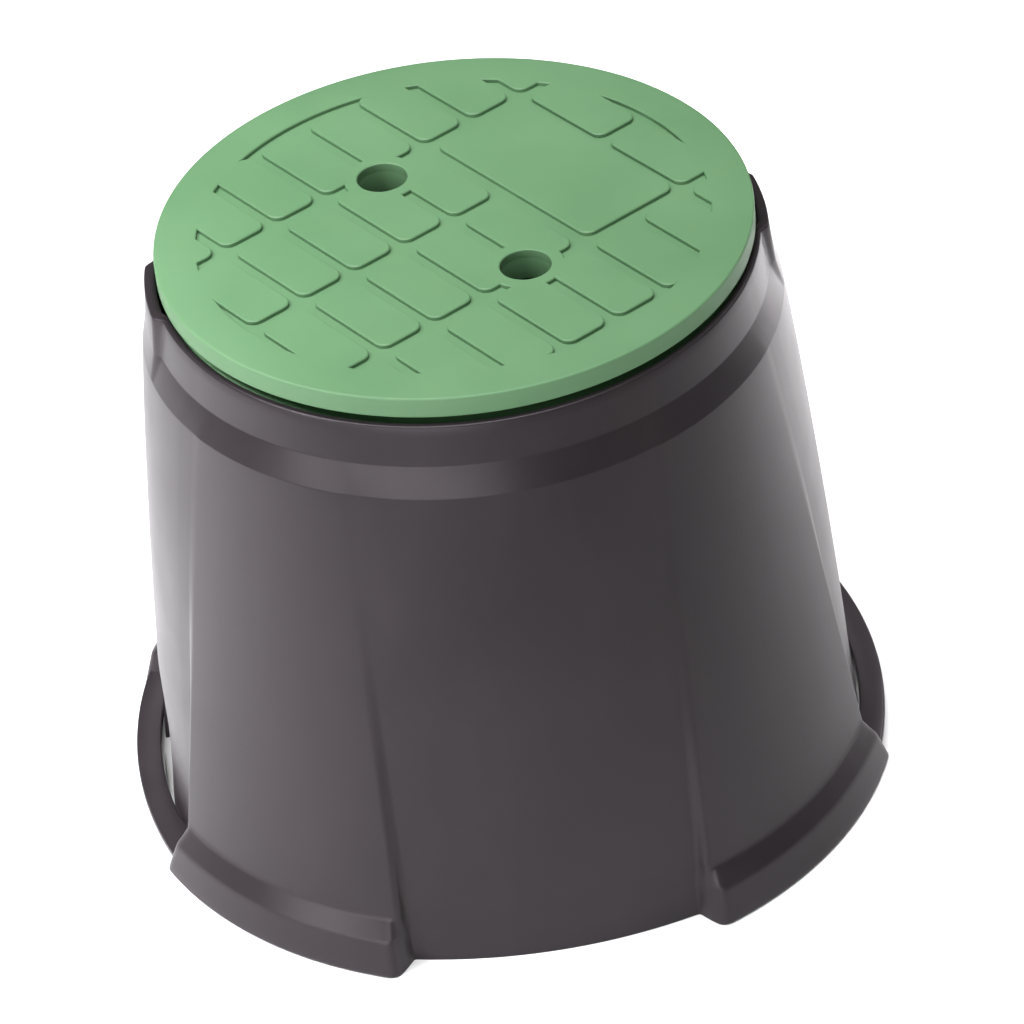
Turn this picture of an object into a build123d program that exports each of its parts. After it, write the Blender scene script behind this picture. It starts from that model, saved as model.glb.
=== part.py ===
from build123d import *
import os
from math import ceil, sqrt

# Round irrigation valve chamber: a moulded plastic body with an open bottom, and a twist-lock lid.
# Origin at the ground in the middle. +Z up, the two pipe entries face +X and -X. Millimetres.

# Heights
height = 260.0
lid_edge = 8.8
lid_gap = 3.2
neck_height = 17.0
shoulder_height = 12.0
foot_height = 16.0
ledge_height = 9.0

# Radii
lid_d = 240.0
rim_reveal = 1.7
neck_draft = 2.7
shoulder_step = 5.2
ground_r = 159.3
foot_reach = 6.2
foot_draft = 3.5
foot_half = 60.0

# Walls and small radii of the body
wall = 3.2
foot_corner = 6.5

# Panels set back between the feet
panel_half = 64.3
panel_setback = 11.2
panel_foot_arc = 214.0
panel_swell = 1.35
panel_top_drop = 11.0

# Pipe entries and the strap that ties the feet in front of each
entry_width = 50.0
entry_height = 60.0
entry_over = 0.3
strap_low = 5.5
strap_thick = 3.5
strap_reach = 0.7
strap_width = 9.6
strap_bow = 198.6

# Bayonet: entry channels in the neck, a seat ledge, lugs and stops
boss_half = 22.0
boss_proud = 3.6
boss_rounding = 3.0
boss_drop = 29.0
boss_draft = 5.5
channel_half = 15.6
channel_draft = 3.0
seat_depth = 12.5
seat_thick = 3.0
seat_width = 6.5
seat_gap = 0.25
lug_half = 14.7
lug_thick = 4.8
lug_gap = 0.35
lug_tip_gap = 0.9
arm_thick = 3.0
arm_gap = 0.4
stop_width = 3.0
stop_gap = 0.4
twist = 30.0

# Lid
lid_plate = 4.0
lid_chamfer = 1.3
plug_gap = 0.9
plug_wall = 3.0
rib_count = 12
rib_thick = 2.4
rib_depth = 8.0
hub_r = 16.0
finger_d = 20.5
finger_pitch = 90.2
finger_collar = 3.0
finger_depth = 14.0
finger_chamfer = 0.8

# Brick pattern in the top of the lid
pattern_turn = 32.0
brick_length = 50.2
brick_width = 25.5
groove_width = 4.7
groove_depth = 1.4
brick_corner = 4.7
field_r = 106.0
finger_land = 15.5
plate_near = 29.6
plate_far = 76.1
plate_long = 95.0

# Worked out from the sizes above
rim_z = height - lid_edge - lid_gap
neck_z = rim_z - neck_height
shoulder_z = neck_z - shoulder_height
ledge_z = foot_height + ledge_height
panel_top_z = shoulder_z - panel_top_drop
lid_r = lid_d / 2
panel_foot_r = ground_r - panel_setback
rim_r = lid_r + rim_reveal
neck_r = rim_r + neck_draft
shoulder_r = neck_r + shoulder_step
base_r = ground_r + foot_reach
foot_lean = foot_draft / foot_height
seat_z = rim_z - seat_depth
strap_mid_r = ground_r + strap_reach
seat_r = rim_r - wall - seat_width + neck_draft * seat_depth / neck_height
stop_in = seat_r - 1.0
stop_out = neck_r - wall / 2
over = 20.0


def wall_r(z):
    """Outer radius of the plain wall at height z."""
    return ground_r + (shoulder_r - ground_r) * z / shoulder_z


def neck_outer_r(z):
    """Outer radius of the neck at height z."""
    return rim_r + neck_draft * (rim_z - z) / neck_height


def recess_cutter(inset):
    """What lies outside one panel: of the outer skin, or of the inner skin, set in by the wall."""
    low_z = -over
    top_z = panel_top_z + panel_top_drop / 2
    far = base_r + over
    half = panel_half + inset
    with BuildPart() as cutter:
        for z in (low_z, (low_z + top_z) / 2, top_z):
            share = z / panel_top_z
            mid = panel_foot_r + (wall_r(panel_top_z) - panel_foot_r) * share
            mid += 4 * panel_swell * share * (1 - share) - inset
            arc = panel_foot_arc + (wall_r(panel_top_z) - panel_foot_arc) * share - inset
            end = mid - arc + sqrt(arc**2 - half**2)
            with BuildSketch(Plane.XY.offset(z)):
                with BuildLine():
                    ThreePointArc((end, -half), (mid, 0), (end, half))
                    Polyline((end, half), (far, half), (far, -half), (end, -half))
                make_face()
        loft()
    return cutter.part


def wall_form(inset, floor, top):
    """The turned wall, shoulder and neck, with the four panels set back."""
    with BuildPart() as form:
        with BuildSketch(Plane.XZ):
            with BuildLine():
                Polyline(
                    (0, floor),
                    (wall_r(floor) - inset, floor),
                    (shoulder_r - inset, shoulder_z),
                    (neck_r - inset, neck_z),
                    (neck_outer_r(top) - inset, top),
                    (0, top),
                    close=True,
                )
            make_face()
        revolve(axis=Axis.Z)
        cutter = recess_cutter(inset)
        for quarter in range(4):
            add(cutter.rotate(Axis.Z, 90 * quarter), mode=Mode.SUBTRACT)
    return form.part


def gap_cutter(inset, floor, top):
    """The gap between two feet: its sides lean as the fronts of the feet do."""
    low_half = foot_half + inset + foot_lean * floor
    top_half = foot_half + inset + foot_lean * top
    with BuildPart() as cutter:
        with BuildSketch(Plane.YZ):
            with BuildLine():
                Polyline((-low_half, floor), (low_half, floor), (top_half, top), (-top_half, top), close=True)
            make_face()
        extrude(amount=base_r + over)
    return cutter.part


def foot_form(inset, floor):
    """The four feet: a turned ring cut by the gaps, its corners rounded, under a sloping ledge."""
    buried = 5.0
    top = ledge_z + buried
    root = ground_r - 3 * foot_corner
    low_r = base_r - inset - foot_lean * floor
    top_r = base_r - inset - foot_draft
    slope = (top_r - wall_r(ledge_z) + inset) / ledge_height
    with BuildPart() as feet:
        with BuildSketch(Plane.XZ):
            with BuildLine():
                Polyline(
                    (root, floor),
                    (low_r, floor),
                    (base_r - inset - foot_lean * top, top),
                    (root, top),
                    close=True,
                )
            make_face()
        revolve(axis=Axis.Z)
        cutter = gap_cutter(inset, floor, top)
        for quarter in range(4):
            add(cutter.rotate(Axis.Z, 90 * quarter), mode=Mode.SUBTRACT)
        upright = feet.edges().filter_by(lambda e: abs(e.start_point().Z - e.end_point().Z) > foot_height)
        corners = upright.filter_by(lambda e: Vector(e.center().X, e.center().Y).length > ground_r - wall)
        fillet(corners, foot_corner - inset)
        with BuildSketch(Plane.XZ):
            with BuildLine():
                Polyline(
                    (root, floor),
                    (low_r + over, floor),
                    (top_r + slope * wall, foot_height - wall),
                    (top_r - slope * (top - foot_height), top),
                    (root, top),
                    close=True,
                )
            make_face()
        revolve(axis=Axis.Z, mode=Mode.INTERSECT)
    return feet.part


# Body: outer form less the same form set in by the wall
with BuildPart() as body:
    add(wall_form(0, 0, rim_z))
    add(foot_form(0, 0))

    # Bosses outside the neck, over the entry channels
    for side in (0, 180):
        with BuildSketch(Plane.XY.offset(rim_z).rotated((0, 0, side))) as boss:
            Circle(rim_r + boss_proud)
            with Locations((rim_r, 0)):
                Rectangle(rim_r, 2 * boss_half, mode=Mode.INTERSECT)
            fillet(boss.vertices().filter_by(lambda v: Vector(v.X, v.Y).length > rim_r), boss_rounding)
        extrude(amount=-boss_drop, taper=-boss_draft)

    # Strap between the feet in front of each entry
    for side in (0, 180):
        with BuildSketch(Plane.XY.offset(strap_low).rotated((0, 0, side))):
            with Locations((strap_mid_r - strap_bow, 0)):
                Circle(strap_bow)
                Circle(strap_bow - strap_width, mode=Mode.SUBTRACT)
            with Locations((strap_mid_r, 0)):
                Rectangle(strap_mid_r, 2 * (panel_half + foot_corner + wall), mode=Mode.INTERSECT)
        extrude(amount=strap_thick)

    # Hollow inside, open at the ground and at the neck
    add(wall_form(wall, -over, rim_z + over), mode=Mode.SUBTRACT)
    add(foot_form(wall, -over), mode=Mode.SUBTRACT)

    # Seat ledge for the lid's plug, with the stops that the lugs meet under it
    with BuildSketch(Plane.XZ):
        with BuildLine():
            Polyline(
                (seat_r, seat_z),
                (seat_r, seat_z - seat_thick),
                (neck_outer_r(seat_z - seat_thick) - wall / 2, seat_z - seat_thick),
                (neck_outer_r(seat_z) - wall / 2, seat_z),
                close=True,
            )
        make_face()
    revolve(axis=Axis.Z)
    for side in (0, 180):
        for angle, hand in ((-twist, -1), (0, 1)):
            with BuildSketch(Plane.XY.offset(seat_z - seat_thick).rotated((0, 0, side + angle))):
                with Locations(((stop_in + stop_out) / 2, hand * (lug_half + stop_gap + stop_width / 2))):
                    Rectangle(stop_out - stop_in, stop_width)
            extrude(amount=-lug_gap - lug_thick)

    # Entry channels for the lugs: down the neck and through the seat
    for side in (0, 180):
        with BuildSketch(Plane.XY.offset(rim_z).rotated((0, 0, side))):
            Circle(rim_r + boss_proud - wall)
            with Locations((rim_r, 0)):
                Rectangle(rim_r, 2 * channel_half, mode=Mode.INTERSECT)
        extrude(amount=-seat_depth - seat_thick, taper=-channel_draft, mode=Mode.SUBTRACT)

    # Pipe entries, arched, open at the ground
    with BuildSketch(Plane.YZ):
        with Locations((0, entry_height - entry_width / 2)):
            Circle(entry_width / 2)
        with Locations((0, (entry_height - entry_width / 2 - over) / 2)):
            Rectangle(entry_width, entry_height - entry_width / 2 + over)
    extrude(amount=panel_foot_r + entry_over, both=True, mode=Mode.SUBTRACT)
body.part.label = "body"


# Lid: plate, edge, plug, ribs and bayonet lugs, with the brick pattern sunk in its top
pattern = Plane.XY.offset(height).rotated((0, 0, pattern_turn))
under_z = height - lid_plate
edge_z = height - lid_edge
plug_z = seat_z + seat_gap
plug_r = rim_r - wall - plug_gap
lug_top_z = seat_z - seat_thick - lug_gap
lug_r = neck_outer_r(lug_top_z) - wall - lug_tip_gap
arm_r = seat_r - arm_gap
with BuildPart() as lid:
    with BuildSketch(Plane.XZ) as section:
        with BuildLine():
            Polyline(
                (0, under_z),
                (0, height),
                (lid_r, height),
                (lid_r, edge_z),
                (plug_r, edge_z),
                (plug_r, plug_z),
                (plug_r - plug_wall, plug_z),
                (plug_r - plug_wall, under_z),
                close=True,
            )
        make_face()
        chamfer(section.vertices().sort_by_distance((lid_r, height, 0))[0], lid_chamfer)
    revolve(axis=Axis.Z)

    # Ribs from the hub to the plug, and a collar around each finger hole
    with BuildSketch(Plane.XY.offset(under_z)):
        Circle(hub_r)
        Circle(hub_r - rib_thick, mode=Mode.SUBTRACT)
        with PolarLocations((hub_r + plug_r - plug_wall) / 2, rib_count, start_angle=pattern_turn + 180 / rib_count):
            Rectangle(plug_r - plug_wall - hub_r + rib_thick, rib_thick)
    extrude(amount=-rib_depth)
    with BuildSketch(pattern.offset(-lid_plate)):
        with Locations((0, finger_pitch / 2), (0, -finger_pitch / 2)):
            Circle(finger_d / 2 + finger_collar)
    extrude(amount=lid_plate - finger_depth)

    # Lugs on arms that hang inside the seat
    for side in (-twist, 180 - twist):
        with BuildSketch(Plane.XY.offset(under_z).rotated((0, 0, side))):
            Circle(arm_r)
            Circle(arm_r - arm_thick, mode=Mode.SUBTRACT)
            with Locations((arm_r, 0)):
                Rectangle(arm_r, 2 * lug_half, mode=Mode.INTERSECT)
        extrude(amount=lug_top_z - lug_thick - under_z)
        with BuildSketch(Plane.XY.offset(lug_top_z).rotated((0, 0, side))):
            Circle(lug_r)
            Circle(arm_r - arm_thick, mode=Mode.SUBTRACT)
            with Locations((arm_r, 0)):
                Rectangle(arm_r, 2 * lug_half, mode=Mode.INTERSECT)
        extrude(amount=-lug_thick)
        with BuildSketch(Plane.XY.offset(under_z).rotated((0, 0, side))):
            Circle(plug_r - plug_wall / 2)
            Circle(arm_r - arm_thick, mode=Mode.SUBTRACT)
            with Locations((arm_r, 0)):
                Rectangle(arm_r, 2 * lug_half, mode=Mode.INTERSECT)
        extrude(amount=plug_z - under_z)

    # Joints between the bricks, around the plate and around the finger lands
    with BuildSketch(pattern):
        Circle(field_r)
        columns = ceil(field_r / brick_width)
        rows = ceil(field_r / brick_length)
        with GridLocations(brick_width, brick_length, 2 * columns, 2 * rows):
            RectangleRounded(
                brick_width - groove_width, brick_length - groove_width, brick_corner, mode=Mode.SUBTRACT
            )
        with Locations((2 * brick_width, 0)):
            Rectangle(2 * brick_width, 2 * brick_length)
        with Locations(((plate_near + plate_far) / 2, 0)):
            RectangleRounded(plate_far - plate_near, plate_long, brick_corner, mode=Mode.SUBTRACT)
        with Locations((0, finger_pitch / 2), (0, -finger_pitch / 2)):
            Circle(finger_land, mode=Mode.SUBTRACT)
    extrude(amount=-groove_depth, mode=Mode.SUBTRACT)

    # Finger holes, right through
    with BuildSketch(pattern):
        with Locations((0, finger_pitch / 2), (0, -finger_pitch / 2)):
            Circle(finger_d / 2)
    extrude(amount=-finger_depth, mode=Mode.SUBTRACT)
    rims = lid.edges().filter_by(GeomType.CIRCLE).group_by(Axis.Z)[-1]
    chamfer(rims.filter_by(lambda e: abs(e.radius - finger_d / 2) < 0.01), finger_chamfer)
lid.part.label = "lid"

os.makedirs("parts", exist_ok=True)
export_step(body.part, "parts/body.step")
export_step(lid.part, "parts/lid.step")
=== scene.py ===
# %% [markdown]
# # A moulded valve chamber with a twist-lock lid
# The real object is two mouldings: a black body like an upturned bucket with four feet, and a green lid
# that turns and locks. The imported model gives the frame, and each piece made here replaces or rides on
# one of its bodies.

# %% Load the frame
import bpy
from functools import lru_cache, partial
from math import acos, atan2, ceil, cos, hypot, pi, radians, sin, sqrt, tan
from mathutils import Matrix, Vector


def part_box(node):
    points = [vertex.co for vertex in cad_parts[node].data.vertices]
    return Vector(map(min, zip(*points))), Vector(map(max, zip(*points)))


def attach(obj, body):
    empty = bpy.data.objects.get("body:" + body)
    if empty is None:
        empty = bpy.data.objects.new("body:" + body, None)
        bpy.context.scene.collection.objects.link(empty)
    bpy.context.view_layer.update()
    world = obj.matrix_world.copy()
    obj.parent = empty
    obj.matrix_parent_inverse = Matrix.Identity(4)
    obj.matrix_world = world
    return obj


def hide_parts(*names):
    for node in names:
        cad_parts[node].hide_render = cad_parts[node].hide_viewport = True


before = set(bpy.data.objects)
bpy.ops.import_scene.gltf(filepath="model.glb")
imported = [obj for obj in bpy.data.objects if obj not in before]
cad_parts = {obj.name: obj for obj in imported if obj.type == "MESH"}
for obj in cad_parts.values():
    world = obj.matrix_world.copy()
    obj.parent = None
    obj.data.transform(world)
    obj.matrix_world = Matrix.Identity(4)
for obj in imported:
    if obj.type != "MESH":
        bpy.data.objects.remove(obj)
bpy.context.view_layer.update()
lid_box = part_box("lid")
body_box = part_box("body")

# %% [markdown]
# ## The camera
# The photograph looks down on the chamber from a little left of the middle, and it is tipped a few degrees.
# A camera could be pointed with a tracking constraint, but its place was measured, so it is written as
# a place, a turn, a tilt and a roll, multiplied in that order.

# %% Camera
eye_side, eye_back, eye_up = 0.0106, 1.6536, 1.3688
camera_tilt = radians(37.24)
camera_roll = radians(-6.33)
photo_turn = radians(-4.1)
image_size = 1024
focal_pixels = 5000
sensor = 36.0
far_clip = 20

turn = Matrix.Rotation(photo_turn, 4, "Z")
camera_data = bpy.data.cameras.new("photo_camera")
camera_data.sensor_width = sensor
camera_data.lens = focal_pixels / image_size * sensor
camera_data.clip_end = far_clip
camera = bpy.data.objects.new("photo_camera", camera_data)
bpy.context.scene.collection.objects.link(camera)
camera.matrix_world = (
    turn
    @ Matrix.Translation((eye_side, -eye_back, eye_up))
    @ Matrix.Rotation(pi / 2 - camera_tilt, 4, "X")
    @ Matrix.Rotation(camera_roll, 4, "Z")
)
bpy.context.scene.camera = camera
print("camera lens", round(camera_data.lens, 1), "mm")

# %% [markdown]
# ## The sizes of the mouldings
# The driving sizes are in millimetres, as a mould maker writes them, and the heights of the two mouldings
# come from the frame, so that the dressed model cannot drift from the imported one.

# %% Driving sizes
MM = 0.001
height = lid_box[1][2] / MM
rim_z = body_box[1][2] / MM
lid_r, lid_edge = 120.0, 8.8
rim_gap = 1.7
neck_height, neck_flare = 17.0, 2.7
shoulder_height, shoulder_step = 12.0, 5.2
foot_height, foot_reach, foot_lean = 16.0, 6.2, 3.5
ledge_rise = 9.0
ground_r = 159.3
wall = 3.2

neck_z = rim_z - neck_height
shoulder_z = neck_z - shoulder_height
ledge_z = foot_height + ledge_rise
rim_r = lid_r + rim_gap
neck_r = rim_r + neck_flare
shoulder_r = neck_r + shoulder_step
base_r = ground_r + foot_reach
foot_top_r = base_r - foot_lean
print("lid top", round(height, 1), "rim", round(rim_z, 1), "feet", round(2 * base_r, 1))

# %% [markdown]
# ## Rounded corners in a profile
# Every corner of a moulding is rounded, by half a millimetre where it should look sharp and by several
# where it should look soft. A Bevel modifier can do that on a finished mesh. Here the corners are rounded
# in the flat profile first, because each then has its own radius and the faces stay in clean rows.


# %% Rounding helper
def rounded(points, radii, steps=5):
    """The same path with each corner replaced by an arc of its own radius."""
    path = []
    for index, (corner, radius) in enumerate(zip(points, radii)):
        if radius == 0:
            path.append(corner)
            continue
        here = Vector(corner)
        back = (Vector(points[index - 1]) - here).normalized()
        ahead = (Vector(points[(index + 1) % len(points)]) - here).normalized()
        half = acos(max(-1.0, min(1.0, back.dot(ahead)))) / 2
        middle = here + (back + ahead).normalized() * radius / sin(half)
        start = here + back * radius / tan(half) - middle
        end = here + ahead * radius / tan(half) - middle
        sweep = start.angle_signed(end)
        for step in range(steps + 1):
            angle = -sweep * step / steps
            arm = Matrix.Rotation(angle, 2) @ start
            path.append(tuple(middle + arm))
    return path


def radius_at(path, z):
    """The radius of a rising path at height z."""
    for (r0, z0), (r1, z1) in zip(path, path[1:]):
        if z0 <= z <= z1 and z1 > z0:
            return r0 + (r1 - r0) * (z - z0) / (z1 - z0)
    return path[0][0] if z < path[0][1] else path[-1][0]


square_corner = rounded([(0, 0), (5, 0), (5, 5)], [0, 2, 0], 2)
print("a rounded square corner", [tuple(round(c, 2) for c in point) for point in square_corner])

# %% [markdown]
# ## The body's wall
# Seen from above the wall is a circle with four shallow panels set back between the feet. Seen from the
# side it leans in, meets a shoulder, and ends in an upright neck. The wall could be carved with booleans,
# but those leave hard cuts. It is woven instead: rows run up the profile, columns run round the plan, and
# each crossing gets a radius from the two rules together, so that each step has the soft shape of a
# moulding.

# %% Profile of the wall and of the feet
wall_soft = 3.0
ledge_soft = 8.0
ground_flat, ground_round = 1.5, 1.4
wall_profile = rounded(
    [(ground_r, 0), (shoulder_r, shoulder_z), (neck_r, neck_z), (rim_r, rim_z)],
    [0, wall_soft, wall_soft, 0],
)
foot_profile = rounded(
    [
        (base_r - ground_flat, 0),
        (base_r, 0),
        (foot_top_r, foot_height),
        (ground_r + (shoulder_r - ground_r) * ledge_z / shoulder_z, ledge_z),
        (shoulder_r, shoulder_z),
    ],
    [0, ground_round, ledge_soft, ledge_soft, 0],
)
print("profile points", len(wall_profile), "wall and", len(foot_profile), "foot")


# %% Soft steps
def smooth(x):
    """A soft step from 0 to 1."""
    x = max(0.0, min(1.0, x))
    return x * x * (3 - 2 * x)


def soft_min(a, b, reach):
    """The lower of two values, blended where they are nearly equal."""
    mix = max(0.0, min(1.0, 0.5 + (b - a) / (2 * reach)))
    return b + (a - b) * mix - reach * mix * (1 - mix)


def soft_max(a, b, reach):
    """The higher of two values, blended where they are nearly equal."""
    return -soft_min(-a, -b, reach)


print("a quarter of the way up, a soft step is at", round(smooth(0.25), 3))

# %% [markdown]
# ## Panels and feet in plan
# A panel is bowed a little in plan and up its height, and runs out below the shoulder. A foot begins with
# a root, a slanting face and a round corner. The feet beside a strap start nearer to the panel's middle
# than the feet beside a plain panel, so each kind of panel has its own numbers.

# %% Panels
panel_half, panel_swell, panel_soft = 64.3, 1.35, 0.8
panel_foot_r, panel_foot_arc = 148.1, 214.0
panel_run_out = 11.0
panel_top_z = shoulder_z - panel_run_out
panel_top_r = ground_r + (shoulder_r - ground_r) * panel_top_z / shoulder_z
flank_half, flank_soft = 61.6, 3.0


def panel_r(y, z, inset):
    """Distance of a panel's skin from the axis, y beside its middle. It swells most half way up."""
    share = z / panel_top_z
    mid = panel_foot_r + (panel_top_r - panel_foot_r) * share
    mid += 4 * panel_swell * share * (1 - share) - inset
    arc = panel_foot_arc + (panel_top_r - panel_foot_arc) * share - inset
    return hypot(mid - arc + sqrt(arc**2 - y**2), y)


print("panel is", round(ground_r - panel_r(0, 0, 0), 1), "mm back at the ground")

# %% Feet
foot_corner, foot_root = 6.5, 2.5
corner_share, root_share = 0.6, 0.25
foot_end_run, foot_end_steps = 40, 8
foot_fade, foot_clear = 20, 5
foot_blend, least_blend = 0.3, 0.001
strap_side = {"start": 56.0, "lean": 0.26, "slant": 0.15, "twist": 0.0}
plain_side = {"start": 58.6, "lean": -0.03, "slant": 0.65, "twist": 0.015}


def foot_start(z, side):
    """Where a foot's end begins at height z, from the middle plane of the panel: the end leans back."""
    leaning = side["start"] + side["lean"] * min(z, ledge_z)
    return leaning + (flank_half - leaning) * smooth((z - foot_height) / foot_fade)


@lru_cache(maxsize=None)
def foot_end(depth, slant, inset):
    """Plan of a foot's end as (depth, run): a root, a slanting face and a round corner."""
    root = min(foot_root + inset, root_share * depth)
    corner = min(foot_corner - inset, corner_share * depth)
    plan = [(0, -foot_end_run), (0, 0), (depth, slant * depth), (depth, foot_end_run)]
    return rounded(plan, [0, root, corner, 0], foot_end_steps)


def foot_r(y, z, inset, side, inner, foot):
    """The radius at a foot's end. Its sizes are rounded, so that foot_end can be reused."""
    depth = round(foot - panel_r(side["start"], z, inset), 1)
    slant = round(side["slant"] + side["twist"] * min(z, ledge_z), 3)
    run = abs(y) - inset - foot_start(z, side)
    at_foot = radius_at(foot_end(depth, slant, inset), run) / depth
    return foot * at_foot - inner * (at_foot - 1)


print("a foot's end has", len(foot_end(10.0, plain_side["slant"], 0)), "points in plan")

# %% One point of the wall
boss_half, boss_soft, boss_wall = 20.5, 5.0, 4.7
boss_r = 125.2
boss_lean = tan(radians(5.5))


def wall_point(y_share, y, z, inset, strapped):
    """Radius and angle, y from a panel's middle plane or a share of the way to a foot's middle."""
    side = strap_side if strapped else plain_side
    plain = radius_at(wall_profile, z) - inset
    foot = max(plain, radius_at(foot_profile, z) - inset) if z < shoulder_z else plain
    inner = soft_min(panel_r(min(abs(y), panel_half + inset), z, inset), plain, panel_soft)
    at_wall = smooth(0.5 + (abs(y) - inset - flank_half) / (2 * flank_soft))
    radius = inner + (plain - inner) * at_wall
    if z < ledge_z + foot_clear:
        reach = foot_blend * (foot - plain) + least_blend
        radius = soft_max(radius, foot_r(y, z, inset, side, inner, foot), reach)
    if strapped:
        skin = boss_wall if inset else 0.0
        swell = max(0.0, boss_r + (rim_z - z) * boss_lean - skin - radius)
        radius += swell * smooth((boss_half - inset + boss_soft / 2 - abs(y)) / boss_soft)
    edge = atan2(abs(y), sqrt(radius**2 - y**2))
    angle = edge + (pi / 4 - edge) * y_share
    return radius, angle if y >= 0 else -angle


print("a boss stands", round(wall_point(0, 0, rim_z, 0, True)[0] - rim_r, 1), "mm out at the rim")

# %% [markdown]
# ## Rows and columns
# An even grid would waste faces on the plain wall and starve the corners. So the columns lie close where
# a boss ends and along the flank of a foot, and the rows where the profile bends.

# %% Rows and columns of the weave
side_steps = [
    0, 5, 10, 13, 15, 16.5, 17.5, 18.4, 19.2, 19.9, 20.6, 21.3, 22, 22.8, 23.8, 25, 27, 30, 35, 40, 45,
    48.5, 51,
]
flank_steps = [
    -4, -3.2, -2.5, -1.9, -1.4, -0.9, -0.5, -0.2, 0.1, 0.4, 0.7, 1, 1.4, 1.9, 2.5, 3.2, 4, 5, 5.9, 6.8,
    7.6, 8.3, 9, 9.7, 10.5, 11.3, 12.1, 13, 14, 15, 16.2,
]
foot_steps = 9


def columns(inset, z, side):
    """Each column as (share of the way to the foot's middle, distance from the panel's middle plane)."""
    half = [(0, y) for y in side_steps]
    half += [(0, foot_start(z, side) + inset + u) for u in flank_steps]
    last = half[-1][1]
    half += [(step / foot_steps, last) for step in range(1, foot_steps)]
    return [(share, -y) for share, y in reversed(half[1:])] + half


low_rows = {0.5, 1.0, 5.0, 9.0, 12.0}
first_row, row_rise, row_count = ledge_z + 6, 8.0, 23
run_out_rise, neck_rise = 1.5, 4
top_row_gap = 0.9
wall_rows = sorted(
    {round(z, 3) for r, z in wall_profile + foot_profile[1:]}
    | low_rows
    | {first_row + row_rise * step for step in range(row_count)}
    | {panel_top_z + run_out_rise * step for step in range(-3, 5)}
    | {neck_z + neck_rise * step for step in range(1, 4)}
)
wall_rows = [z for z in wall_rows if 0 <= z < rim_z - top_row_gap]
print(len(wall_rows), "rows", 4 * (len(columns(0, 0, plain_side)) + 1), "columns")


# %% Weave the shell
def ring(z, inset, pull=0.0):
    """One closed row of points at height z, set in by the wall or pulled in by a rounding."""
    points = []
    for quarter in range(4):
        strapped = quarter % 2 == 0
        spots = columns(inset, z, strap_side if strapped else plain_side)
        foot_middle = (1, spots[-1][1])
        for share, y in spots + [foot_middle]:
            radius, angle = wall_point(share, y, z, inset, strapped)
            radius -= pull
            angle += quarter * pi / 2
            points.append((radius * cos(angle) * MM, radius * sin(angle) * MM, z * MM))
    return points


def new_piece(name, points=(), faces=()):
    """A mesh object in the scene, from points in metres and faces of their numbers."""
    mesh = bpy.data.meshes.new(name)
    mesh.from_pydata(points, [], faces)
    piece = bpy.data.objects.new(name, mesh)
    bpy.context.scene.collection.objects.link(piece)
    return piece


def woven(name, rings):
    """A mesh object from rings of points, each joined to the next, and the last to the first."""
    count = len(rings[0])
    points = [point for row in rings for point in row]
    faces = []
    for row in range(len(rings)):
        low = row * count
        high = (row + 1) % len(rings) * count
        for step in range(count):
            ahead = (step + 1) % count
            faces.append((low + step, low + ahead, high + ahead, high + step))
    piece = new_piece(name, points, faces)
    piece.data.shade_smooth()
    return piece


rim_round, edge_round = 0.8, 0.4
outside = [ring(z, 0) for z in wall_rows]
for bend in (0, pi / 6, pi / 3, pi / 2):
    outside.append(ring(rim_z - rim_round * (1 - sin(bend)), 0, rim_round * (1 - cos(bend))))
inner_rows = [z for z in wall_rows if z > edge_round] + [rim_z - rim_round]
inside = [ring(rim_z, wall, -rim_round)]
inside += [ring(z, wall) for z in reversed(inner_rows)]
inside += [ring(edge_round, wall), ring(0, wall, -edge_round)]
shell = woven("chamber_shell", outside + inside)
print("shell faces", len(shell.data.polygons))

# %% [markdown]
# ## Pipe entries
# Two arched openings let pipes through the wall. Their edges are plain cuts in the real moulding, so here
# a boolean is the right tool: one arched block is taken away from both sides at once.

# %% Cut the entries
entry_half, entry_low, entry_top = 25.0, -20.0, 60.0
past_skin = 0.3
entry_reach = panel_foot_r + past_skin
crease = radians(50)


def block_along_x(name, outline, low, high):
    """A closed block: a flat outline of (y, z) points carried from low to high along X."""
    count = len(outline)
    points = [(x * MM, y * MM, z * MM) for x in (low, high) for y, z in outline]
    faces = [tuple(reversed(range(count))), tuple(range(count, 2 * count))]
    for step in range(count):
        ahead = (step + 1) % count
        faces.append((step, ahead, count + ahead, count + step))
    return new_piece(name, points, faces)


def apply_modifiers(piece):
    """Replace a piece's mesh by what its modifiers make of it."""
    ready = piece.evaluated_get(bpy.context.evaluated_depsgraph_get())
    mesh = bpy.data.meshes.new_from_object(ready)
    piece.modifiers.clear()
    piece.data = mesh


def cut(piece, tool):
    """Take the tool's solid away from the piece, then drop the tool."""
    change = piece.modifiers.new("cut", "BOOLEAN")
    change.operation = "DIFFERENCE"
    change.solver = "MANIFOLD"
    change.object = tool
    apply_modifiers(piece)
    bpy.data.objects.remove(tool)


arch = [(-entry_half, entry_low), (entry_half, entry_low)]
for bend in range(0, 181, 6):
    rise = entry_half * sin(radians(bend))
    arch.append((entry_half * cos(radians(bend)), entry_top - entry_half + rise))
cut(shell, block_along_x("entry_cutter", arch, -entry_reach, entry_reach))
shell.data.set_sharp_from_angle(angle=crease)
print("shell faces with entries", len(shell.data.polygons))

# %% [markdown]
# ## Bars carried along an arc
# Straps, seat, stops, hub, collars and lugs are all one idea: a small rounded section carried along an arc.
# A curve with a bevel could draw them, but a strap's section changes on its way, so a short function lays
# the points out and asks for the section anew at each angle.

# %% Bar helpers
once_round = 2 * pi - 0.001
section_steps = 3


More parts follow.
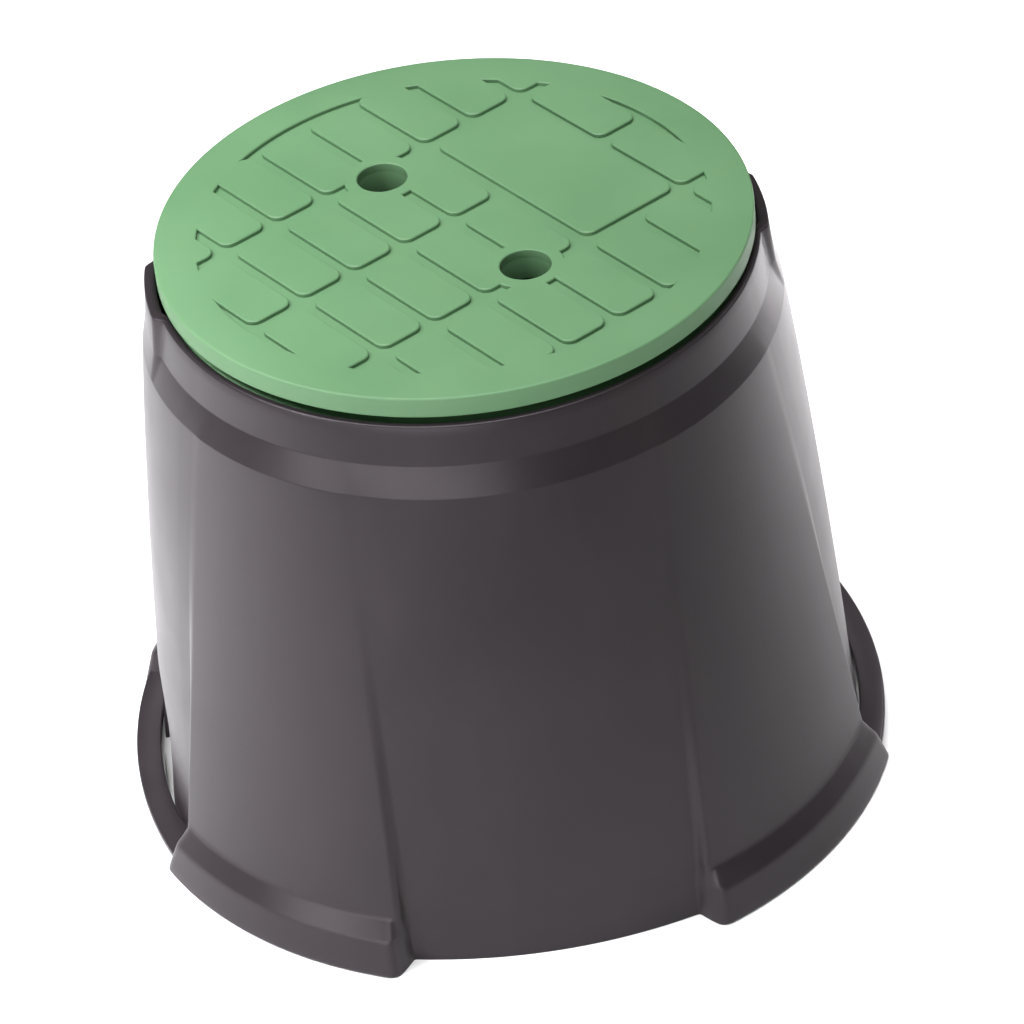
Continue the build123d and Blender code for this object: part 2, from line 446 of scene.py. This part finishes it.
def bar(name, section_at, centre_x, angles, turn_by=0.0):
    """A section of (radius, height) points carried about (centre_x, 0), capped unless it goes round."""
    count = len(section_at(angles[0]))
    points = []
    for angle in angles:
        for r, z in section_at(angle):
            x = centre_x + r * cos(angle)
            y = r * sin(angle)
            place = Matrix.Rotation(turn_by, 3, "Z") @ Vector((x, y, z))
            points.append(tuple(place * MM))
    faces = []
    for row in range(len(angles) - 1):
        for step in range(count):
            ahead = (step + 1) % count
            low = row * count
            faces.append((low + step, low + ahead, low + count + ahead, low + count + step))
    if angles[-1] - angles[0] > once_round:
        last = len(points) - count
        points = points[:last]
        faces = [tuple(index % last for index in face) for face in faces]
    else:
        faces += [tuple(reversed(range(count))), tuple(range(len(points) - count, len(points)))]
    piece = new_piece(name, points, faces)
    piece.data.shade_smooth()
    piece.data.set_sharp_from_angle(angle=crease)
    return piece


def oblong(r0, r1, z0, z1, round_by):
    """A rectangle with rounded corners, counter-clockwise, the same at every angle of a bar."""
    path = rounded([(r0, z0), (r1, z0), (r1, z1), (r0, z1)], [round_by] * 4, section_steps)
    return lambda angle: path


def spread(first, last, steps):
    """Evenly spaced values from first to last."""
    return [first + (last - first) * step / steps for step in range(steps + 1)]


print("an oblong section has", len(oblong(0, 10, 0, 4, 1)(0)), "points")

# %% [markdown]
# ## Straps, seat and stops
# A strap joins two feet in front of each entry. Inside the neck a seat carries the lid, with a gap above
# each entry, and four short stops end the lid's turn. They are parts of the same moulding, so they ride on
# the same body and share its finish.

# %% Straps
strap_low, strap_thick, strap_round = 5.5, 3.5, 0.9
strap_bow, strap_width = 198.6, 10.8
strap_stand_off, strap_overlap = 0.7, 3.0
strap_root, root_start, root_run = 3.5, 40.0, 20.0
strap_mid_r = ground_r + strap_stand_off
strap_end = (strap_side["start"] + foot_corner + strap_overlap) / strap_bow


def strap_section(angle):
    """The strap's section: it widens inwards where it runs into a foot."""
    widening = strap_root * smooth((abs(angle) * strap_bow - root_start) / root_run)
    inner_r = strap_bow - strap_width - widening
    return oblong(inner_r, strap_bow, strap_low, strap_low + strap_thick, strap_round)(angle)


strap_angles = spread(-strap_end, strap_end, 40)
straps = [
    bar("strap_" + side, strap_section, strap_mid_r - strap_bow, strap_angles, turn_by)
    for side, turn_by in (("right", 0.0), ("left", pi))
]
print(len(straps), "straps of", strap_width, "mm")

# %% Seat
seat_depth, seat_thick, seat_width = 12.5, 3.0, 6.5
channel_half = 15.6
inner_round = 0.4
seat_z = rim_z - seat_depth
seat_r = rim_r - wall - seat_width + neck_flare * seat_depth / neck_height
in_neck_r = neck_r - wall / 2
gap_angle = channel_half / seat_r
seat_section = oblong(seat_r, in_neck_r, seat_z - seat_thick, seat_z, inner_round)
seats = [
    bar("seat_" + side, seat_section, 0.0, spread(gap_angle, pi - gap_angle, 90), turn_by)
    for side, turn_by in (("back", 0.0), ("front", pi))
]
print(len(seats), "seat halves of radius", round(seat_r, 1), "mm")

# %% Stops
lug_half, lug_thick, lug_gap = 14.7, 4.8, 0.35
lug_circle_r = 118.0
stop_width, stop_gap, stop_inset = 3.0, 0.4, 1
twist = radians(30)
stop_low = seat_z - seat_thick - lug_gap - lug_thick
stop_section = oblong(seat_r - stop_inset, in_neck_r, stop_low, seat_z - stop_inset, inner_round)
stop_reach = stop_width / 2 / lug_circle_r
stops = []
for side in (0.0, pi):
    for angle, hand in ((-twist, -1), (0.0, 1)):
        middle = hand * (lug_half + stop_gap + stop_width / 2) / lug_circle_r
        stop_angles = spread(middle - stop_reach, middle + stop_reach, 2)
        stops.append(bar("stop_" + str(len(stops)), stop_section, 0.0, stop_angles, side + angle))
print(len(stops), "stops")

# %% Place the body's pieces
for piece in straps + seats + stops:
    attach(piece, "chamber")
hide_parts("body")
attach(shell, "chamber")
print("body pieces", 1 + len(straps) + len(seats) + len(stops))

# %% [markdown]
# ## The lid
# The lid is turned: a plate with a rounded edge and a plug below that stands in the neck. Its top has a
# field of bricks. They are not raised, but left standing level with the border where joints are sunk
# between them. The same order works here. A tree of Geometry Nodes lays out bricks on a grid, takes them
# away from a round plate as thick as the joints are deep, and takes what is left away from the lid.

# %% Turned lid
lid_plate = 4.0
plug_gap, plug_wall, seat_gap = 0.9, 3.0, 0.25
groove_depth, groove_low = 5.0, 2.0
plug_r = rim_r - wall - plug_gap
plug_z = seat_z + seat_gap
groove_r = plug_r - groove_depth
plug_inner_r = groove_r - plug_wall
under_z = height - lid_plate
edge_z = height - lid_edge
middle_r = 100.0
round_steps = 240
lid_section = rounded(
    [
        (middle_r, height),
        (lid_r, height),
        (lid_r, edge_z),
        (groove_r, edge_z),
        (groove_r, rim_z - groove_low),
        (plug_r, rim_z - groove_low),
        (plug_r, plug_z),
        (plug_inner_r, plug_z),
        (plug_inner_r, under_z),
        (middle_r, under_z),
    ],
    [0, 0.9, 0.5, 0.6, 0.6, 0.8, 0.6, 0.6, 1.0, 0],
)


def turned(name, path, steps):
    """A closed solid from a path of (radius, height) points, with flat discs at its two ends."""
    points = []
    faces = []
    for r, z in path:
        for step in range(steps):
            angle = 2 * pi * step / steps
            points.append((r * cos(angle) * MM, r * sin(angle) * MM, z * MM))
    for row in range(len(path) - 1):
        for step in range(steps):
            ahead = (step + 1) % steps
            low = row * steps
            faces.append((low + step, low + steps + step, low + steps + ahead, low + ahead))
    faces.append(tuple(range(steps)))
    faces.append(tuple(reversed(range(len(points) - steps, len(points)))))
    piece = new_piece(name, points, faces)
    piece.data.shade_smooth()
    return piece


lid = turned("lid_cover", lid_section, round_steps)
print("lid section has", len(lid_section), "points")

# %% [markdown]
# ## The brick field
# The field repeats, so Geometry Nodes make it. A small group turns any closed curve into a slab, and the
# tree uses it for the bricks, the bare plate, the lands round the finger holes and the holes themselves.
# Moving whole bricks by hand would be quicker once, but the tree can be given another brick size.


# %% Node helpers
def feed(tree, socket, value):
    """Link a socket to another node's output, or set its own value."""
    if hasattr(value, "is_output"):
        tree.links.new(value, socket)
    else:
        socket.default_value = value


def node(tree, kind, **settings):
    """A new node with its settings and its inputs, by name: an underscore stands for a space."""
    made = tree.nodes.new(kind)
    for key, value in settings.items():
        if hasattr(made, key):
            setattr(made, key, value)
        else:
            feed(tree, made.inputs[key.replace("_", " ")], value)
    return made


def reckon_in(tree, operation, a, b=0.0):
    """The result of a Math node in a tree, on two sockets or numbers."""
    made = node(tree, "ShaderNodeMath", operation=operation)
    for socket, value in zip(made.inputs, (a, b)):
        feed(tree, socket, value)
    return made.outputs[0]


def tree_with(name, kind, inputs, outputs):
    """A node group with named sockets, and its two end nodes."""
    tree = bpy.data.node_groups.new(name, kind)
    for label, socket, value in inputs:
        made = tree.interface.new_socket(name=label, in_out="INPUT", socket_type=socket)
        if value is not None:
            made.default_value = value
    for label, socket in outputs:
        tree.interface.new_socket(name=label, in_out="OUTPUT", socket_type=socket)
    return tree, tree.nodes.new("NodeGroupInput"), tree.nodes.new("NodeGroupOutput")


print("node helpers ready in Blender", bpy.app.version_string)

# %% [markdown]
# ## A slab from a curve
# The group fills the curve, raises it straight to a lip, and from there on to the top with a slope. The
# slope is what rounds the edges of the joints where they meet the lid's face.

# %% Slab group
slab_tree, slab_in, slab_out = tree_with(
    "Slab from a curve",
    "GeometryNodeTree",
    [
        ("Curve", "NodeSocketGeometry", None),
        ("Low", "NodeSocketFloat", 0.0),
        ("Lip", "NodeSocketFloat", 0.001),
        ("High", "NodeSocketFloat", 0.002),
        ("Flare", "NodeSocketVector", None),
    ],
    [("Slab", "NodeSocketGeometry")],
)
merge_distance = 0.00001


def raised(mesh, start, end, **settings):
    """A face raised from one height of the group to another."""
    gap = reckon_in(slab_tree, "SUBTRACT", slab_in.outputs[end], slab_in.outputs[start])
    step = node(slab_tree, "ShaderNodeCombineXYZ", Z=gap).outputs[0]
    return node(
        slab_tree, "GeometryNodeExtrudeMesh", Mesh=mesh, Offset=step, Individual=False, **settings
    ).outputs


flat = node(slab_tree, "GeometryNodeFillCurve", mode="NGONS", Curve=slab_in.outputs["Curve"])
upright = raised(flat.outputs[0], "Low", "Lip")
sloped = raised(upright["Mesh"], "Lip", "High", Selection=upright["Top"])
here = node(slab_tree, "GeometryNodeInputPosition")
widen = node(slab_tree, "ShaderNodeVectorMath", operation="MULTIPLY")
slab_tree.links.new(here.outputs[0], widen.inputs[0])
slab_tree.links.new(slab_in.outputs["Flare"], widen.inputs[1])
flared = node(
    slab_tree, "GeometryNodeSetPosition",
    Geometry=sloped["Mesh"], Selection=sloped["Top"], Offset=widen.outputs[0],
)
under = node(slab_tree, "GeometryNodeFlipFaces", Mesh=flat.outputs[0])
both = node(slab_tree, "GeometryNodeJoinGeometry")
slab_tree.links.new(flared.outputs[0], both.inputs[0])
slab_tree.links.new(under.outputs[0], both.inputs[0])
sealed = node(
    slab_tree, "GeometryNodeMergeByDistance", Geometry=both.outputs[0], Distance=merge_distance
)
lift = node(slab_tree, "ShaderNodeCombineXYZ", Z=slab_in.outputs["Low"])
placed = node(
    slab_tree, "GeometryNodeTransform", Geometry=sealed.outputs[0], Translation=lift.outputs[0]
)
slab_tree.links.new(placed.outputs[0], slab_out.inputs[0])
print("slab group", len(slab_tree.nodes), "nodes")

# %% Sizes of the field
field_sizes = {
    "Brick length": 50.2,
    "Brick width": 25.5,
    "Joint width": 4.7,
    "Joint depth": 1.9,
    "Softness": 0.4,
    "Corner radius": 4.7,
    "Field radius": 103.0,
    "Land radius": 15.5,
    "Hole radius": 10.25,
    "Hole distance": 45.1,
    "Plate near": 29.6,
    "Plate far": 76.1,
    "Plate length": 95.0,
    "Top": height,
}
field_turn = radians(32.0)
field_tree, field_in, field_out = tree_with(
    "Brick field",
    "GeometryNodeTree",
    [("Lid", "NodeSocketGeometry", None)]
    + [(label, "NodeSocketFloat", 0.0) for label in field_sizes]
    + [("Turn", "NodeSocketFloat", 0.0), ("Finish", "NodeSocketMaterial", None)],
    [("Lid", "NodeSocketGeometry")],
)
given = field_in.outputs
print("the field has", len(field_sizes), "sizes")

# %% Helpers of the field
reckon = partial(reckon_in, field_tree)
corner_steps = 6
even_slope = 4.0


def place(x=0.0, y=0.0, z=0.0):
    """A vector in the field tree."""
    return node(field_tree, "ShaderNodeCombineXYZ", X=x, Y=y, Z=z).outputs[0]


def slab(curve, below, width, length, hand):
    """A slab of a curve, through the lid's top, with its edge sloped there: out for hand 1, in for -1."""
    slope = reckon("MULTIPLY", given["Softness"], even_slope * hand)
    return node(
        field_tree,
        "GeometryNodeGroup",
        node_tree=slab_tree,
        Curve=curve,
        Low=reckon("SUBTRACT", given["Top"], below),
        Lip=reckon("SUBTRACT", given["Top"], given["Softness"]),
        High=reckon("ADD", given["Top"], given["Softness"]),
        Flare=place(reckon("DIVIDE", slope, width), reckon("DIVIDE", slope, length)),
    ).outputs[0]


def rounded_box(width, length, corner):
    """A flat rectangle with rounded corners."""
    box = node(field_tree, "GeometryNodeCurvePrimitiveQuadrilateral", Width=width, Height=length)
    made = node(field_tree, "GeometryNodeFilletCurve", mode="POLY", Curve=box.outputs[0], Radius=corner)
    made.inputs["Count"].default_value = corner_steps
    return made.outputs[0]


def disc(radius, steps):
    """A flat circle."""
    return node(
        field_tree, "GeometryNodeCurvePrimitiveCircle", Resolution=steps, Radius=radius
    ).outputs[0]


def moved(geometry, **settings):
    """The geometry after a Transform node."""
    return node(field_tree, "GeometryNodeTransform", Geometry=geometry, **settings).outputs[0]


def less(solid, *tools):
    """The solid with the tools taken away."""
    made = node(
        field_tree, "GeometryNodeMeshBoolean", operation="DIFFERENCE", solver="EXACT", Mesh_1=solid
    )
    for tool in tools:
        field_tree.links.new(tool, made.inputs["Mesh 2"])
    return made.outputs["Mesh"]


print("helpers ready for", field_tree.name)

# %% [markdown]
# ## Bricks, plate and holes
# Bricks stand on the points of a grid. Points under the bare plate are deleted, and so are those whose
# brick would show only as a sliver at the field's edge. What remains between the bricks is the joints.

# %% Bricks on a grid
spare = 0.0003
over_depth = reckon("ADD", given["Joint depth"], spare)
brick_across = reckon("SUBTRACT", given["Brick width"], given["Joint width"])
brick_along = reckon("SUBTRACT", given["Brick length"], given["Joint width"])
brick_outline = rounded_box(brick_across, brick_along, given["Corner radius"])
brick = slab(brick_outline, over_depth, brick_across, brick_along, -1.0)
columns_across = 2 * ceil(field_sizes["Field radius"] / field_sizes["Brick width"])
rows_across = 2 * ceil(field_sizes["Field radius"] / field_sizes["Brick length"])
grid = node(
    field_tree,
    "GeometryNodeMeshGrid",
    Vertices_X=columns_across,
    Vertices_Y=rows_across,
    Size_X=reckon("MULTIPLY", given["Brick width"], columns_across - 1.0),
    Size_Y=reckon("MULTIPLY", given["Brick length"], rows_across - 1.0),
)
position = node(field_tree, "GeometryNodeInputPosition").outputs[0]
spot = node(field_tree, "ShaderNodeSeparateXYZ", Vector=position)
sideways = reckon("ABSOLUTE", spot.outputs["Y"])
in_plate = reckon("GREATER_THAN", spot.outputs["X"], given["Brick width"])
in_plate = reckon("MULTIPLY", in_plate, reckon("LESS_THAN", spot.outputs["X"], given["Plate far"]))
in_plate = reckon("MULTIPLY", in_plate, reckon("LESS_THAN", sideways, given["Brick length"]))
half_across = reckon("MULTIPLY", brick_across, 0.5)
corner_x = reckon("SUBTRACT", reckon("ABSOLUTE", spot.outputs["X"]), half_across)
corner_y = reckon("SUBTRACT", sideways, reckon("MULTIPLY", brick_along, 0.5))
corner_r = node(field_tree, "ShaderNodeVectorMath", operation="LENGTH")
field_tree.links.new(place(corner_x, corner_y), corner_r.inputs[0])
sliver_r = reckon("SUBTRACT", given["Field radius"], given["Joint width"])
sliver = reckon("GREATER_THAN", corner_r.outputs["Value"], sliver_r)
kept = node(
    field_tree, "GeometryNodeDeleteGeometry", domain="POINT",
    Geometry=grid.outputs["Mesh"], Selection=reckon("MAXIMUM", in_plate, sliver),
)
bricks = node(field_tree, "GeometryNodeInstanceOnPoints", Points=kept.outputs[0], Instance=brick)
bricks = node(field_tree, "GeometryNodeRealizeInstances", Geometry=bricks.outputs[0]).outputs[0]
print("brick grid", columns_across, "by", rows_across)

# %% Bare plate, lands and holes
land_steps = 64
through_lid = 0.02


def across(radius):
    """Twice a radius."""
    return reckon("MULTIPLY", radius, 2.0)


plate_middle = reckon("MULTIPLY", reckon("ADD", given["Plate near"], given["Plate far"]), 0.5)
plate_across = reckon("SUBTRACT", given["Plate far"], given["Plate near"])
plate_outline = rounded_box(plate_across, given["Plate length"], given["Corner radius"])
plate_below = reckon("ADD", over_depth, spare)
plate = slab(plate_outline, plate_below, plate_across, given["Plate length"], -1.0)
plate = moved(plate, Translation=place(plate_middle))
field_across = across(given["Field radius"])
field_outline = disc(given["Field radius"], round_steps)
field = slab(field_outline, given["Joint depth"], field_across, field_across, 1.0)
joints = less(field, bricks, plate)
land_across = across(given["Land radius"])
hole_across = across(given["Hole radius"])
holes = []
for hand in (1.0, -1.0):
    away = place(0.0, reckon("MULTIPLY", given["Hole distance"], hand))
    land = slab(disc(given["Land radius"], land_steps), over_depth, land_across, land_across, -1.0)
    joints = less(joints, moved(land, Translation=away))
    hole = slab(disc(given["Hole radius"], land_steps), through_lid, hole_across, hole_across, 1.0)
    holes.append(moved(hole, Translation=away))
cover = given["Lid"]
for tool in [joints] + holes:
    cover = less(cover, moved(tool, Rotation=place(0.0, 0.0, given["Turn"])))
real = node(field_tree, "GeometryNodeRealizeInstances", Geometry=cover)
finished = node(
    field_tree, "GeometryNodeSetMaterial", Geometry=real.outputs[0], Material=given["Finish"]
)
field_tree.links.new(finished.outputs[0], field_out.inputs[0])
print("brick field tree", len(field_tree.nodes), "nodes")

# %% Sink the joints in the lid
lid_crease = radians(30)


def give_inputs(change, tree, values):
    """Set a modifier's inputs by their sockets' identifiers."""
    for item in tree.interface.items_tree:
        if item.in_out == "INPUT" and item.name in values:
            change[item.identifier] = values[item.name]


green = bpy.data.materials.new("green_polypropylene")
black = bpy.data.materials.new("black_polypropylene")
sinking = lid.modifiers.new("brick_field", "NODES")
sinking.node_group = field_tree
field_values = {label: size * MM for label, size in field_sizes.items()}
give_inputs(sinking, field_tree, field_values | {"Turn": field_turn, "Finish": green})
apply_modifiers(lid)
lid.data.shade_smooth()
lid.data.set_sharp_from_angle(angle=lid_crease)
print("lid faces", len(lid.data.polygons))

# %% [markdown]
# ## Under the lid
# Twelve ribs run from a hub to the plug, each finger hole has a collar, and two lugs hang on arms to grip
# under the seat. The ribs repeat round a circle, so a second, smaller tree lays them out.

# %% Rib tree
rib_count, rib_thick, rib_depth, hub_r = 12, 2.4, 8.0, 16.0
rib_labels = ("Inner", "Outer", "Thickness", "Depth", "Height", "Turn")
rib_tree, rib_in, rib_out = tree_with(
    "Ribs round a hub",
    "GeometryNodeTree",
    [("Geometry", "NodeSocketGeometry", None)]
    + [(label, "NodeSocketFloat", 0.0) for label in rib_labels]
    + [("Count", "NodeSocketInt", rib_count), ("Finish", "NodeSocketMaterial", None)],
    [("Ribs", "NodeSocketGeometry")],
)
rib_given = rib_in.outputs
rib_reckon = partial(reckon_in, rib_tree)
rib_length = rib_reckon("SUBTRACT", rib_given["Outer"], rib_given["Inner"])
rib_middle = rib_reckon("MULTIPLY", rib_reckon("ADD", rib_given["Outer"], rib_given["Inner"]), 0.5)
rib_drop = rib_reckon("SUBTRACT", rib_given["Height"], rib_reckon("MULTIPLY", rib_given["Depth"], 0.5))
rib_size = node(
    rib_tree, "ShaderNodeCombineXYZ", X=rib_length, Y=rib_given["Thickness"], Z=rib_given["Depth"]
)
rib = node(rib_tree, "GeometryNodeMeshCube", Size=rib_size.outputs[0])
rib_place = node(rib_tree, "ShaderNodeCombineXYZ", X=rib_middle, Z=rib_drop)
rib = node(
    rib_tree, "GeometryNodeTransform", Geometry=rib.outputs["Mesh"], Translation=rib_place.outputs[0]
)
hub_points = node(rib_tree, "GeometryNodePoints", Count=rib_given["Count"])
order = node(rib_tree, "GeometryNodeInputIndex")
step_angle = rib_reckon("DIVIDE", 2 * pi, rib_given["Count"])
rib_angle = rib_reckon("ADD", rib_reckon("MULTIPLY", order.outputs[0], step_angle), rib_given["Turn"])
rib_turn = node(rib_tree, "ShaderNodeCombineXYZ", Z=rib_angle)
rib_ring = node(
    rib_tree, "GeometryNodeInstanceOnPoints",
    Points=hub_points.outputs[0], Instance=rib.outputs[0], Rotation=rib_turn.outputs[0],
)
rib_real = node(rib_tree, "GeometryNodeRealizeInstances", Geometry=rib_ring.outputs[0])
rib_done = node(
    rib_tree, "GeometryNodeSetMaterial", Geometry=rib_real.outputs[0], Material=rib_given["Finish"]
)
rib_tree.links.new(rib_done.outputs[0], rib_out.inputs[0])
print("rib tree", len(rib_tree.nodes), "nodes")

# %% Ribs, hub and collars
sunk = 0.5
hub_round = 0.5
collar_wall, collar_depth = 3.0, 14.0
collar_r = field_sizes["Hole radius"]
ribs = new_piece("lid_ribs")
laying = ribs.modifiers.new("ribs", "NODES")
laying.node_group = rib_tree
rib_values = {
    "Inner": (hub_r - rib_thick / 2) * MM,
    "Outer": (plug_inner_r + sunk) * MM,
    "Thickness": rib_thick * MM,
    "Depth": (rib_depth + sunk) * MM,
    "Height": (under_z + sunk) * MM,
    "Turn": field_turn + pi / rib_count,
    "Count": rib_count,
    "Finish": green,
}
give_inputs(laying, rib_tree, rib_values)
apply_modifiers(ribs)
full_turn = spread(0, 2 * pi, 64)
hub_section = oblong(hub_r - rib_thick, hub_r, under_z - rib_depth, under_z + sunk, hub_round)
hub = bar("lid_hub", hub_section, 0.0, full_turn)
collar_low = height - collar_depth
collar_section = oblong(collar_r, collar_r + collar_wall, collar_low, under_z + sunk, hub_round)
collars = []
for label, hand in (("far", 1), ("near", -1)):
    collar = bar("finger_collar_" + label, collar_section, 0.0, full_turn)
    middle = Matrix.Rotation(field_turn, 3, "Z") @ Vector((0, hand * field_sizes["Hole distance"], 0))
    collar.data.transform(Matrix.Translation(middle * MM))
    collars.append(collar)
print("ribs", len(ribs.data.polygons) // 6, "collars", len(collars))

# %% Lugs
arm_gap, arm_thick, arm_sunk, arm_round = 0.4, 3.0, 0.3, 0.4
lug_inset, lug_round = 0.2, 0.5
arm_r = seat_r - arm_gap
lug_top = seat_z - seat_thick - lug_gap
lug_low = lug_top - lug_thick
lug_r = plug_r + neck_flare * (rim_z - lug_top) / neck_height
lug_reach = lug_half / lug_circle_r
lug_angles = spread(-lug_reach, lug_reach, 10)
arm_section = oblong(arm_r - arm_thick, arm_r, lug_low, under_z + arm_sunk, arm_round)
lug_section = oblong(arm_r - arm_thick + lug_inset, lug_r, lug_low, lug_top, lug_round)
lugs = []
for label, side in (("a", 0.0), ("b", pi)):
    lugs.append(bar("lug_arm_" + label, arm_section, 0.0, lug_angles, side - twist))
    lugs.append(bar("lug_" + label, lug_section, 0.0, lug_angles, side - twist))
print("lug pieces", len(lugs))

# %% Place the lid's pieces
for piece in [lid, ribs, hub] + collars + lugs:
    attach(piece, "cover")
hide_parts("lid")
print("lid pieces", 3 + len(collars) + len(lugs))

# %% [markdown]
# ## Finishes
# Both mouldings have the fine grain of a spark-eroded mould, and the black one has caught a little dust.
# Grain, clouds and scuffs are one shader group, used by both materials with their own values, and each
# material keeps its own Principled shader.

# %% Shared grain group
grain_tree, grain_in, grain_out = tree_with(
    "Moulded grain",
    "ShaderNodeTree",
    [
        ("Grain scale", "NodeSocketFloat", 900.0),
        ("Cloud scale", "NodeSocketFloat", 14.0),
        ("Scuff scale", "NodeSocketFloat", 60.0),
    ],
    [("Grain", "NodeSocketFloat"), ("Clouds", "NodeSocketFloat"), ("Scuffs", "NodeSocketFloat")],
)


def noise(scale, where, detail, roughness):
    """A noise of the grain group, at one of its scales."""
    return node(
        grain_tree, "ShaderNodeTexNoise",
        Vector=where, Scale=grain_in.outputs[scale], Detail=detail, Roughness=roughness,
    ).outputs[0]


def remap(tree, value, low, high, to_low=0.0, to_high=1.0):
    """The value with its range from low to high spread from to_low to to_high."""
    return node(
        tree, "ShaderNodeMapRange",
        Value=value, From_Min=low, From_Max=high, To_Min=to_low, To_Max=to_high,
    ).outputs[0]


where = node(grain_tree, "ShaderNodeTexCoord").outputs["Object"]
upright_streaks = (1.0, 1.0, 0.25)
stretch = node(grain_tree, "ShaderNodeMapping", Vector=where, Scale=upright_streaks).outputs[0]
fine = noise("Grain scale", where, 3.0, 0.6)
cloud = noise("Cloud scale", where, 4.0, 0.55)
scuff = noise("Scuff scale", stretch, 2.0, 0.5)
for socket, value in zip(grain_out.inputs, (fine, cloud, remap(grain_tree, scuff, 0.5, 0.85))):
    grain_tree.links.new(value, socket)
print("grain group", len(grain_tree.nodes), "nodes")

# %% Moulded plastic
cloud_low, cloud_high = 0.3, 0.7
most_dust = 0.2
first_colour, second_colour, mixed_colour = 6, 7, 2


def blend(tree, share, first, second):
    """A colour between two, by a share. A Mix node keeps its colour sockets at the places named above."""
    made = node(tree, "ShaderNodeMix", data_type="RGBA")
    tree.links.new(share, made.inputs["Factor"])
    feed(tree, made.inputs[first_colour], first)
    feed(tree, made.inputs[second_colour], second)
    return made.outputs[mixed_colour]


def plastic(material, dark, light, dusty, rough_low, rough_high, gloss, grain_scale, grain_depth):
    """A moulded plastic: two close colours in clouds, a trace of dust, uneven gloss and a fine grain."""
    material.use_nodes = True
    tree = material.node_tree
    shader = tree.nodes["Principled BSDF"]
    shader.inputs["Specular IOR Level"].default_value = gloss
    grain = node(tree, "ShaderNodeGroup", node_tree=grain_tree, Grain_scale=grain_scale)
    shades = remap(tree, grain.outputs["Clouds"], cloud_low, cloud_high)
    colour = blend(tree, shades, (*dark, 1), (*light, 1))
    dust_share = reckon_in(tree, "MULTIPLY", grain.outputs["Scuffs"], most_dust)
    tree.links.new(blend(tree, dust_share, colour, (*dusty, 1)), shader.inputs["Base Color"])
    rough = remap(tree, grain.outputs["Clouds"], cloud_low, cloud_high, rough_low, rough_high)
    tree.links.new(rough, shader.inputs["Roughness"])
    bump = node(tree, "ShaderNodeBump", Height=grain.outputs["Grain"], Strength=1.0, Distance=grain_depth)
    tree.links.new(bump.outputs[0], shader.inputs["Normal"])
    return shader


black_shader = plastic(
    black,
    dark=(0.0140, 0.0114, 0.0130),
    light=(0.0180, 0.0145, 0.0165),
    dusty=(0.030, 0.025, 0.023),
    rough_low=0.29,
    rough_high=0.38,
    gloss=0.25,
    grain_scale=1100.0,
    grain_depth=0.00003,
)
black_shader.inputs["Specular Tint"].default_value = (1.0, 0.93, 0.99, 1)
plastic(
    green,
    dark=(0.070, 0.160, 0.073),
    light=(0.086, 0.184, 0.087),
    dusty=(0.100, 0.175, 0.075),
    rough_low=0.55,
    rough_high=0.68,
    gloss=0.4,
    grain_scale=1400.0,
    grain_depth=0.00003,
)
for finish, pieces in (
    (black, [shell] + straps + seats + stops),
    (green, [lid, ribs, hub] + collars + lugs),
):
    for piece in pieces:
        piece.data.materials.clear()
        piece.data.materials.append(finish)
print("materials", black.name, green.name)

# %% [markdown]
# ## The studio
# The photograph was taken on white with soft light. A large lamp above lights the lid, and a low one in
# front and one on the left draw the shoulder and the ledges of the feet. The black wall is lit mostly by
# the floor that it mirrors. So three narrow lamps make bright pools on the floor, to the left, to the
# right and behind, and leave the chamber itself alone.

# %% Floor
floor_reach = 6.0
floor_corners = [(-1, -1), (1, -1), (1, 1), (-1, 1)]
floor_points = [(x * floor_reach, y * floor_reach, 0) for x, y in floor_corners]
floor = new_piece("floor", floor_points, [(0, 1, 2, 3)])
floor_finish = bpy.data.materials.new("white_sweep")
floor_finish.use_nodes = True
floor_shader = floor_finish.node_tree.nodes["Principled BSDF"]
floor_shader.inputs["Base Color"].default_value = (0.65, 0.65, 0.65, 1)
floor_shader.inputs["Roughness"].default_value = 0.9
floor.data.materials.append(floor_finish)
print("floor", 2 * floor_reach, "m wide")


# %% Lights
def soft_light(name, spot, aim, size, power, beam=180, tint=(1, 1, 1)):
    """An oval light (width, height) at a spot, pointed at its aim, with its beam's width in degrees."""
    data = bpy.data.lights.new(name, "AREA")
    data.shape = "ELLIPSE"
    data.size, data.size_y = size
    data.energy = power
    data.color = tint
    data.spread = radians(beam)
    lamp = bpy.data.objects.new(name, data)
    bpy.context.scene.collection.objects.link(lamp)
    line = Vector(aim) - Vector(spot)
    lamp.matrix_world = Matrix.Translation(spot) @ line.to_track_quat("-Z", "Y").to_matrix().to_4x4()


pool_beam = 70
soft_light("top_light", (-0.2, -0.3, 2.2), (0, 0, 0.1), (1.9, 1.9), 84)
soft_light("front_light", (-0.95, -2.1, 0.42), (0, 0, 0.2), (2.4, 0.6), 29)
soft_light("left_light", (-2.0, -1.1, 0.7), (0, 0, 0.1), (0.8, 1.0), 17)
soft_light("left_pool", (-0.8, -0.1, 1.0), (-0.55, 0, 0), (0.5, 0.5), 7.8, pool_beam, (0.98, 0.96, 1.0))
soft_light("right_pool", (0.9, 0.7, 1.0), (0.65, 0.5, 0), (0.5, 0.5), 11.5, pool_beam, (1.0, 0.96, 0.99))
soft_light("back_pool", (0, 1.1, 1.0), (0, 0.85, 0), (0.6, 0.6), 3.3, pool_beam)
world = bpy.data.worlds.new("studio")
world.use_nodes = True
world.node_tree.nodes["Background"].inputs["Color"].default_value = (1, 1, 1, 1)
world.node_tree.nodes["Background"].inputs["Strength"].default_value = 0.1
bpy.context.scene.world = world
bpy.context.scene.view_settings.view_transform = "Standard"
